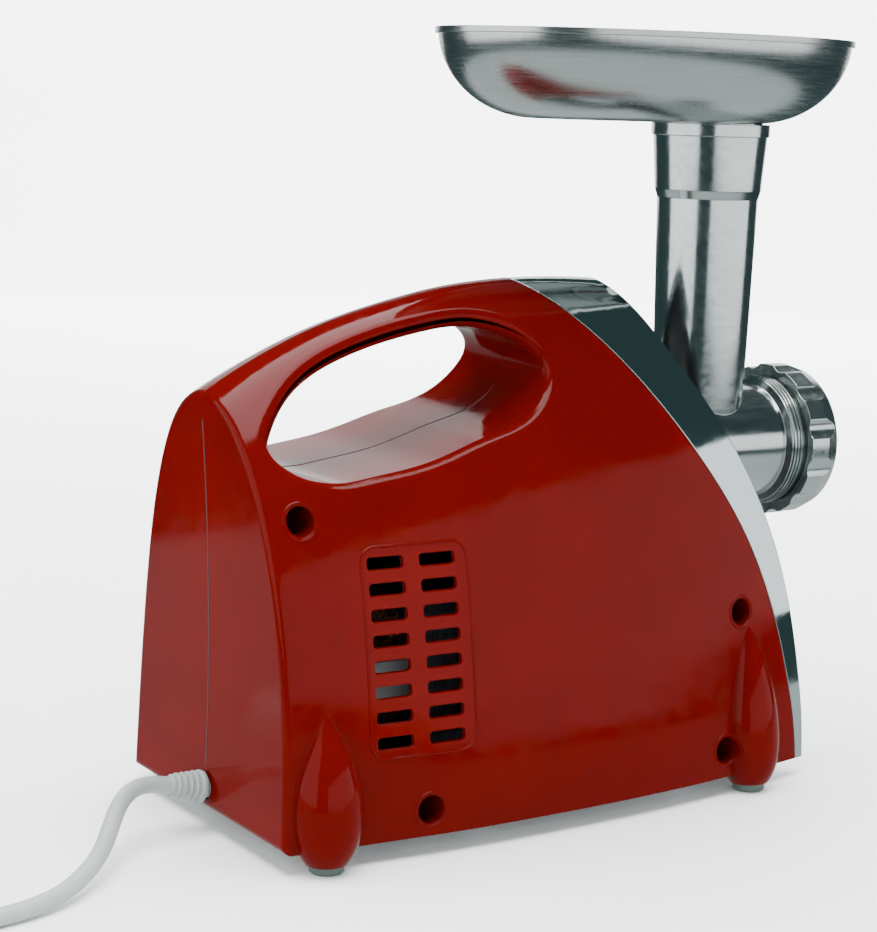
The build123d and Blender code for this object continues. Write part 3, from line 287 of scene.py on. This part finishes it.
def laminated(name, colour):
    """Stack of thin steel sheets with bluish oxide."""
    finish = Finish(name, colour, 0.60, 0.7)
    finish.vary_colour(finish.noise(0.5 * MM, 0, (400, 1, 400)), shade(colour, 0.35), 0.8)
    finish.vary_colour(finish.noise(12 * MM, 3), (0.12, 0.13, 0.20), 0.5)
    finish.vary_roughness(finish.noise(4 * MM, 4), 0.12)
    finish.bump(finish.noise(0.5 * MM, 0, (400, 1, 400)), 0.08 * MM, 0.6)
    return finish.material


def wound(name, colour):
    """Lacquered copper wire laid side by side."""
    finish = Finish(name, colour, 0.28, 0.85)
    wave = finish.node("ShaderNodeTexWave", bands_direction="DIAGONAL")
    wave.inputs["Scale"].default_value = 340
    wave.inputs["Distortion"].default_value = 1.6
    finish.link(finish.place, wave.inputs["Vector"])
    finish.vary_colour(wave.outputs["Fac"], shade(colour, 0.45), 0.8)
    finish.vary_colour(finish.noise(8 * MM, 3), shade(colour, 1.3), 0.4)
    finish.vary_roughness(finish.noise(2 * MM, 3), 0.1)
    finish.bump(wave.outputs["Fac"], 0.25 * MM, 0.7)
    return finish.coat(0.5, 0.1).material


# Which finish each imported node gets.
FINISH_OF = {
    "casing": ["housing_right", "housing_left"],
    "trim": ["front_bezel"],
    "panel": ["front_panel", "base_plate", "head_socket"],
    "alloy_y": ["grinder_head"],
    "nut": ["ring_nut"],
    "tray": ["food_tray"],
    "feet": ["rubber_feet"],
    "lead": ["strain_relief", "power_cord", "cord_coil", "cord_tail", "plug_body"],
    "tie": ["cord_tie"],
    "pins": ["plug_pins"],
    "switch": ["switch_bezel", "power_rocker"],
    "button": ["lock_button"],
    "cutters": ["cutting_plate", "cutting_blade"],
    "screw": ["feed_screw"],
    "gears": ["output_gear", "second_pinion", "motor_pinion"],
    "shafts": ["output_shaft", "idler_shaft", "motor_shaft", "output_bearing",
               "motor_front_bearing", "motor_rear_bearing", "lock_spring"],
    "screws": ["base_screws", "housing_screws", "socket_screws", "gearbox_screws", "motor_bolts"],
    "drive_case": ["gearbox_housing", "gearbox_cover", "end_bracket"],
    "core": ["stator_core", "armature_core"],
    "copper": ["field_windings", "armature_windings"],
    "segments": ["commutator", "brush_holders"],
    "bronze": ["output_bush", "idler_bushes"],
    "nylon": ["first_gear", "screw_washer"],
    "fan": ["cooling_fan"],
    "carbon": ["carbon_brushes", "power_switch"],
}


def make_finishes(look):
    """All the materials, by the names used in FINISH_OF."""
    steel = (0.52, 0.53, 0.54)
    return {
        "casing": gloss_plastic("casing_red", look.casing_colour, look.casing_gloss, 0.8 * MM),
        "trim": plated("plated_trim", look.chrome_colour),
        "panel": satin_plastic("dark_moulding", (0.030, 0.030, 0.033), 0.42),
        "alloy_y": polished_cast("polished_head", look.alloy_colour, 0.17, (1, 6, 1)),
        "nut": polished_cast("turned_nut", look.alloy_colour, 0.22),
        "tray": brushed("satin_tray", look.tray_colour, 0.24, (30, 30, 1)),
        "feet": satin_plastic("foot_rubber", look.feet_colour, 0.6, 0.3 * MM),
        "lead": satin_plastic("lead_sheath", look.lead_colour, 0.38, 0.25 * MM),
        "tie": satin_plastic("tie_band", (0.06, 0.06, 0.065), 0.5),
        "pins": plated("plated_pins", (0.75, 0.74, 0.70), 0.14),
        "switch": gloss_plastic("switch_black", (0.012, 0.012, 0.014), 0.22),
        "button": satin_plastic("button_black", (0.02, 0.02, 0.022), 0.35),
        "cutters": brushed("ground_cutters", (0.58, 0.59, 0.60), 0.22, (10, 1, 1)),
        "screw": polished_cast("cast_screw", (0.60, 0.61, 0.61), 0.32),
        "gears": brushed("cut_gears", (0.42, 0.42, 0.43), 0.30, (1, 1, 8)),
        "shafts": brushed("ground_shafts", steel, 0.20, (1, 12, 1)),
        "screws": brushed("plated_screws", (0.46, 0.47, 0.50), 0.28, (1, 1, 1)),
        "drive_case": polished_cast("cast_drive_case", (0.48, 0.49, 0.50), 0.42),
        "core": laminated("laminated_core", (0.13, 0.135, 0.15)),
        "copper": wound("wound_copper", (0.55, 0.20, 0.08)),
        "segments": brushed("copper_segments", (0.62, 0.34, 0.18), 0.26, (1, 10, 1)),
        "bronze": polished_cast("sintered_bronze", (0.46, 0.32, 0.16), 0.40),
        "nylon": satin_plastic("white_nylon", (0.72, 0.70, 0.62), 0.40),
        "fan": satin_plastic("fan_plastic", (0.16, 0.16, 0.17), 0.45),
        "carbon": satin_plastic("pressed_carbon", (0.025, 0.025, 0.027), 0.55),
    }


# ---------------------------------------------------------------- building helpers
def paint(piece, finish):
    """Gives a piece one finish all over."""
    piece.data.materials.clear()
    piece.data.materials.append(finish)


def surface_of(*names):
    """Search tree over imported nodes."""
    points, faces = [], []
    for name in names:
        mesh = NODES[name].data
        start = len(points)
        points += [v.co.copy() for v in mesh.vertices]
        faces += [[start + i for i in p.vertices] for p in mesh.polygons]
    return BVHTree.FromPolygons(points, faces)


def smooth_line(name, points, radius, finish, body, closed=False):
    """Thin round tube through points, as its own piece: used for the raised mouldings and for the
    dark lines of painted shade along the seams.
    """
    curve = bpy.data.curves.new(name, "CURVE")
    curve.dimensions = "3D"
    curve.bevel_depth = radius
    curve.bevel_resolution = 3
    curve.use_fill_caps = True
    spline = curve.splines.new("POLY")
    spline.points.add(len(points) - 1)
    for point, place in zip(spline.points, points):
        point.co = (*place, 1)
    spline.use_cyclic_u = closed
    piece = bpy.data.objects.new(name, curve)
    bpy.context.collection.objects.link(piece)
    piece.data.materials.append(finish)
    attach(piece, body)
    return piece


FINISHES = {}  # filled by the operator that gives the finishes


# ---------------------------------------------------------------- operators
CAMERA_PLACE = (-0.8234, 0.5820, 0.31377)
CAMERA_TURN, CAMERA_TILT, CAMERA_ROLL = 237.03, 9.48, 1.78
CAMERA_LENS, CAMERA_SENSOR = 86.57, 36  # millimetres, the sensor's upright side
WORKTOP_RADIUS = 0.62
FROM_CAMERA = math.radians(147.0)  # direction from the grinder to the camera, in plan
# Backdrop round the worktop, as radius and height.
BACKDROP = [(WORKTOP_RADIUS, 0.0), (1.4, 0.0), (2.6, 0.0), (3.2, 0.06), (3.7, 0.25),
            (4.05, 0.6), (4.2, 1.1), (4.2, 3.2)]


class GRINDER_OT_stage(bpy.types.Operator):
    """Add the camera, the floor with its backdrop, and the lights"""

    bl_idname = "grinder.stage"
    bl_label = "Stage"

    def execute(self, context):
        settings = context.scene.grinder_stage
        self.camera(context)
        self.floor(settings)
        self.lights(context, settings)
        return {"FINISHED"}

    def camera(self, context):
        """Camera behind the grinder's right side, a little above it."""
        turn, tilt = math.radians(CAMERA_TURN), math.radians(CAMERA_TILT)
        roll = math.radians(CAMERA_ROLL)
        back = Vector((math.sin(turn) * math.cos(tilt), -math.cos(turn) * math.cos(tilt),
                       math.sin(tilt)))
        right = Vector((math.cos(turn), math.sin(turn), 0))
        up = back.cross(right)
        right, up = (right * math.cos(roll) + up * math.sin(roll),
                     up * math.cos(roll) - right * math.sin(roll))
        data = bpy.data.cameras.new("camera")
        data.sensor_fit = "VERTICAL"
        data.sensor_height = CAMERA_SENSOR
        data.lens = CAMERA_LENS
        data.clip_end = 50
        camera = bpy.data.objects.new("camera", data)
        columns = Matrix((right, up, back)).transposed()
        camera.matrix_world = Matrix.Translation(CAMERA_PLACE) @ columns.to_4x4()
        context.collection.objects.link(camera)
        context.scene.camera = camera

    def floor(self, settings):
        """Worktop disc, a wider floor that curves up into a backdrop all round, and a glowing
        grey disc that only glossy pieces see: a painted reflection of the worktop."""
        finish = Finish("floor_paint", settings.floor_colour, 0.7)
        finish.vary_colour(finish.noise(0.4, 2), shade(settings.floor_colour, 0.985), 0.5)
        finish.vary_roughness(finish.noise(0.05, 3), 0.05)
        near = self.dish("floor_near", [(0.0, 0.0), (WORKTOP_RADIUS, 0.0)], finish.material)
        far = self.dish("floor_far", BACKDROP, finish.material)
        near.visible_glossy = False
        far.visible_glossy = False
        # Painted reflection: a glowing grey disc just above the worktop, seen only in glossy
        # pieces, stands in for the floor they mirror.
        floor_reflection_glow = Finish("painted_floor_reflection", (0, 0, 0), 1.0)
        floor_reflection_glow.shader.inputs["Specular IOR Level"].default_value = 0
        floor_reflection_glow.shader.inputs["Emission Color"].default_value = (0.90, 1.0, 0.99, 1)
        floor_reflection_glow.shader.inputs["Emission Strength"].default_value = settings.mirrored
        floor_reflection_glow.vary_roughness(floor_reflection_glow.noise(0.05, 3), 0.05)
        lift = 0.4 * MM
        card = self.dish("painted_floor_reflection", [(0.0, lift), (WORKTOP_RADIUS, lift)], floor_reflection_glow.material)
        card.visible_camera = False
        card.visible_diffuse = False
        card.visible_shadow = False

    def dish(self, name, rings, material):
        """Round sheet through (radius, height) rings."""
        build = bmesh.new()
        sides = 96
        loops = []
        for radius, height in rings:
            if radius == 0:
                loops.append([build.verts.new((0, 0, height))])
                continue
            loops.append([build.verts.new((radius * math.cos(a), radius * math.sin(a), height))
                          for a in (2 * math.pi * k / sides for k in range(sides))])
        for inner, outer in zip(loops, loops[1:]):
            for k in range(sides):
                after = (k + 1) % sides
                if len(inner) == 1:
                    build.faces.new((inner[0], outer[k], outer[after]))
                else:
                    build.faces.new((inner[k], outer[k], outer[after], inner[after]))
        mesh = bpy.data.meshes.new(name)
        build.to_mesh(mesh)
        build.free()
        mesh.shade_smooth()
        sheet = bpy.data.objects.new(name, mesh)
        bpy.context.collection.objects.link(sheet)
        sheet.data.materials.append(material)
        return sheet

    def lights(self, context, settings):
        """Even light from all round and five softboxes."""
        world = bpy.data.worlds.new("even_light")
        world.use_nodes = True
        background = world.node_tree.nodes["Background"]
        background.inputs["Color"].default_value = (0.50, 0.90, 0.95, 1)
        background.inputs["Strength"].default_value = settings.ambient
        context.scene.world = world
        # Name, turn from the camera's side, distance, height, size, power, height aimed at.
        softboxes = (
            ("overhead", 0, 0.0, 2.70, (2.6, 2.6), settings.key_power, 0.16),
            ("right_panel", 55, 1.2, 0.24, (2.8, 0.48), 0.62 * settings.fill_power, 0.24),
            ("left_panel", -62, 1.2, 0.60, (1.8, 1.20), 1.2 * settings.fill_power, 0.50),
            ("far_panel", 178, 2.3, 0.75, (2.6, 1.3), 1.4 * settings.fill_power, 0.5),
            ("backdrop_wash", 180, 1.9, 2.40, (1.5, 1.5), 1.25 * settings.key_power, 0.6))
        for name, turn, reach, height, size, power, aim_height in softboxes:
            data = bpy.data.lights.new(name, "AREA")
            data.shape = "RECTANGLE"
            data.size, data.size_y = size
            data.energy = power
            lamp = bpy.data.objects.new(name, data)
            angle = FROM_CAMERA + math.radians(turn)
            place = Vector((reach * math.cos(angle), reach * math.sin(angle), height))
            out = 4.0 if name == "backdrop_wash" else 0.0
            aim = Vector((out * math.cos(angle), out * math.sin(angle), aim_height))
            lamp.location = place
            lamp.rotation_euler = (aim - place).to_track_quat("-Z", "Y").to_euler()
            lamp.visible_camera = False
            context.collection.objects.link(lamp)


class GRINDER_OT_finishes(bpy.types.Operator):
    """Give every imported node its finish"""

    bl_idname = "grinder.finishes"
    bl_label = "Finishes"

    def execute(self, context):
        FINISHES.update(make_finishes(context.scene.grinder_finishes))
        for finish, names in FINISH_OF.items():
            for name in names:
                paint(NODES[name], FINISHES[finish])
        left = set(NODES) - {name for names in FINISH_OF.values() for name in names}
        if left:
            raise RuntimeError(f"no finish for {sorted(left)}")
        return {"FINISHED"}


# Route of the lead in millimetres, from its sleeve to the first turn of the coil.
LEAD_START = [(0.0, 184.80, 23.07), (-1.5, 192.6, 23.9), (-5.6, 200.4, 22.8),
              (-12.9, 208.0, 20.1), (-23.4, 215.8, 16.0), (-35.6, 224.8, 11.6),
              (-47.8, 237.0, 7.8), (-58.3, 252.2, 5.1), (-64.7, 270.0, 3.8),
              (-67.0, 290.0, 3.7), (-66.8, 310.0, 4.2)]
LEAD_END = [(18.0, 313.0, 10.0), (21.5, 298.5, 5.4), (29.5, 285.5, 3.7), (41.5, 276.0, 5.4),
            (55.0, 270.5, 10.2), (68.0, 268.0, 10.2)]
SLEEVE_ROOT = (0.0, 163.77, 18.6)
SLEEVE_LENGTH, SLEEVE_RISE = 14.5, 12.0
COIL_CENTRE = (-26.0, 328.0)
COIL_RADII = (43.6, 36.4)
COIL_HEIGHTS = (4.2, 11.4)


class GRINDER_OT_lead(bpy.types.Operator):
    """Lay the mains lead from its sleeve over the worktop into its coil and plug"""

    bl_idname = "grinder.lead"
    bl_label = "Mains lead"

    def execute(self, context):
        size = context.scene.grinder_sizes
        rise = math.radians(SLEEVE_RISE)
        tip = (0.0, SLEEVE_ROOT[1] + SLEEVE_LENGTH * math.cos(rise),
               SLEEVE_ROOT[2] + SLEEVE_LENGTH * math.sin(rise))
        route = [tip, *LEAD_START, *self.turns(), *LEAD_END]
        curve = bpy.data.curves.new("mains_lead", "CURVE")
        curve.dimensions = "3D"
        curve.bevel_depth = size.lead_diameter / 2
        curve.bevel_resolution = 6
        curve.use_fill_caps = True
        spline = curve.splines.new("NURBS")
        spline.points.add(len(route) - 1)
        for point, place in zip(spline.points, route):
            point.co = (*(v * MM for v in place), 1)
        spline.order_u = 3
        spline.use_endpoint_u = True
        spline.resolution_u = 8
        lead = bpy.data.objects.new("mains_lead", curve)
        context.collection.objects.link(lead)
        lead.data.materials.append(FINISHES["lead"])
        length = self.measure(lead)
        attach(lead, "base")
        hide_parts("power_cord", "cord_coil", "cord_tail")
        return {"FINISHED"}

    def turns(self):
        """Two layers of turns: the lower one wound inwards, the upper one outwards."""
        steps = 16  # points in each turn
        points = []
        for k in range(4 * steps + steps // 2):
            angle = math.pi - 2 * math.pi * k / steps
            turn = k / steps
            inward = min(1.0, max(0.0, turn - 0.75) * 4) - min(1.0, max(0.0, turn - 3.0) * 4)
            radius = COIL_RADII[0] + (COIL_RADII[1] - COIL_RADII[0]) * inward
            climb = min(1.0, max(0.0, turn - 1.75) * 3)
            height = COIL_HEIGHTS[0] + (COIL_HEIGHTS[1] - COIL_HEIGHTS[0]) * climb
            points.append((COIL_CENTRE[0] + radius * math.cos(angle),
                           COIL_CENTRE[1] + radius * math.sin(angle), height))
        return points

    def measure(self, piece):
        """Length of the piece's own centre line, in metres."""
        bare = piece.data.copy()
        bare.bevel_depth = 0
        line = bpy.data.objects.new("line", bare)
        bpy.context.collection.objects.link(line)
        bpy.context.view_layer.update()
        mesh = line.to_mesh()
        places = [v.co.copy() for v in mesh.vertices]
        line.to_mesh_clear()
        bpy.data.objects.remove(line)
        return sum((b - a).length for a, b in zip(places, places[1:]))


# Places in millimetres along Y and up: the frame round the vents and the screw wells.
VENT_FRAME_LOW, VENT_FRAME_HIGH, VENT_FRAME_CORNER = (71.6, 43.5), (122.0, 129.5), 7
SCREW_WELLS = ((146.5, 141.5), (-81.5, 83.0), (-68.5, 21.7), (94.7, 20.2))
WELL_RING_RADIUS = 7.3
LEAD_HEIGHT = 18.6


class GRINDER_OT_mouldings(bpy.types.Operator):
    """Add the raised lines round the vents and screw wells, and the dark lines of painted shade
    along the centre seam
    """

    bl_idname = "grinder.mouldings"
    bl_label = "Mouldings"

    def execute(self, context):
        size = context.scene.grinder_sizes
        casing = surface_of("housing_right", "housing_left")
        self.vent_frames(casing, size.line_radius)
        self.screw_rings(casing, size.line_radius)
        self.seams(casing, size.seam_shade_radius)
        return {"FINISHED"}

    def on_side(self, casing, side, y, z, sink):
        """Place on the outside of the casing at y and z, let in by sink."""
        start = Vector((side * 0.2, y * MM, z * MM))
        hit, normal, _, _ = casing.ray_cast(start, Vector((-side, 0, 0)))
        if hit is None:
            raise RuntimeError("the moulding misses the casing")
        return hit + normal * (-sink if normal.x * side > 0 else sink)

    def rounded_frame(self, low, high, corner, step):
        """Points round a rectangle with round corners."""
        points = []
        near, far = (low[0] + corner, low[1] + corner), (high[0] - corner, high[1] - corner)
        corners = [(far[0], far[1], 0), (near[0], far[1], 90), (near[0], near[1], 180),
                   (far[0], near[1], 270)]
        for y, z, start in corners:
            for k in range(7):
                angle = math.radians(start + 15 * k)
                points.append((y + corner * math.cos(angle), z + corner * math.sin(angle)))
        dense = []
        for (y0, z0), (y1, z1) in zip(points, points[1:] + points[:1]):
            parts = max(1, round(math.hypot(y1 - y0, z1 - z0) / step))
            dense += [(y0 + (y1 - y0) * k / parts, z0 + (z1 - z0) * k / parts)
                      for k in range(parts)]
        return dense

    def vent_frames(self, casing, radius):
        """Raised line round the vents of each side."""
        for side, word in ((-1, "right"), (1, "left")):
            line = [self.on_side(casing, side, y, z, 0.45 * radius)
                    for y, z in self.rounded_frame(VENT_FRAME_LOW, VENT_FRAME_HIGH,
                                                   VENT_FRAME_CORNER, 4)]
            smooth_line(f"vent_frame_{word}", line, radius, FINISHES["casing"], "base",
                        closed=True)

    def screw_rings(self, casing, radius):
        """Raised ring round each screw well."""
        for number, (y, z) in enumerate(SCREW_WELLS):
            line = []
            for k in range(28):
                angle = 2 * math.pi * k / 28
                line.append(self.on_side(casing, -1, y + WELL_RING_RADIUS * math.cos(angle),
                                         z + WELL_RING_RADIUS * math.sin(angle), 0.4 * radius))
            smooth_line(f"screw_well_ring_{number + 1}", line, radius, FINISHES["casing"],
                        "base", closed=True)

    def seams(self, casing, radius):
        """Painted shade: dark lines for the shaded grooves where the two halves meet, at the rear,
        the crest and the inside of the handle.
        """
        rear = [(300, 12 + 165 * k / 47) for k in range(48)]
        rear = [(y, z) for y, z in rear if abs(z - LEAD_HEIGHT) > 10]
        self.seam(casing, "seam_shade_rear", rear, (0, -1, 0), radius)
        crest = [(158 - 185 * k / 89, 300) for k in range(90)]
        self.seam(casing, "seam_shade_crest", crest, (0, 0, -1), radius)
        inside = [(34 + 108 * k / 59, 192 - 0.24 * 108 * k / 59) for k in range(60)]
        self.seam(casing, "seam_shade_grip", inside, (0, 0, -1), radius)

    def seam(self, casing, name, starts, way, radius):
        """Line along the places met from the starts, let in a little."""
        way = Vector(way)
        line = []
        for y, z in starts:
            hit, _, _, _ = casing.ray_cast(Vector((0.0005, y * MM, z * MM)), way)
            if hit is not None:
                line.append(Vector((0, hit.y, hit.z)) + 0.2 * radius * way)
        # Painted shade: the groove between the halves is drawn as a thin line in the dark moulding
        # finish.
        smooth_line(name, line, radius, FINISHES["panel"], "base")


class GRINDER_PT_panel(bpy.types.Panel):
    """Buttons for the pieces, in the order in which they are made"""

    bl_label = "Meat grinder"
    bl_idname = "GRINDER_PT_panel"
    bl_space_type = "VIEW_3D"
    bl_region_type = "UI"
    bl_category = "Grinder"

    def draw(self, context):
        for operator in OPERATORS:
            self.layout.operator(operator.bl_idname)
        for group in (context.scene.grinder_finishes, context.scene.grinder_sizes,
                      context.scene.grinder_stage):
            box = self.layout.box()
            for key in group.__annotations__:
                box.prop(group, key)


GROUPS = {"grinder_finishes": GrinderFinishes, "grinder_sizes": GrinderSizes,
          "grinder_stage": GrinderStage}
OPERATORS = (GRINDER_OT_stage, GRINDER_OT_finishes, GRINDER_OT_lead, GRINDER_OT_mouldings)


def register():
    for group in GROUPS.values():
        bpy.utils.register_class(group)
    for cls in (*OPERATORS, GRINDER_PT_panel):
        bpy.utils.register_class(cls)
    for key, group in GROUPS.items():
        setattr(bpy.types.Scene, key, bpy.props.PointerProperty(type=group))


def unregister():
    for key in GROUPS:
        delattr(bpy.types.Scene, key)
    for cls in (GRINDER_PT_panel, *reversed(OPERATORS), *GROUPS.values()):
        bpy.utils.unregister_class(cls)


def main():
    register()
    bpy.ops.grinder.stage()
    bpy.ops.grinder.finishes()
    bpy.ops.grinder.lead()
    bpy.ops.grinder.mouldings()


if __name__ == "__main__":
    main()
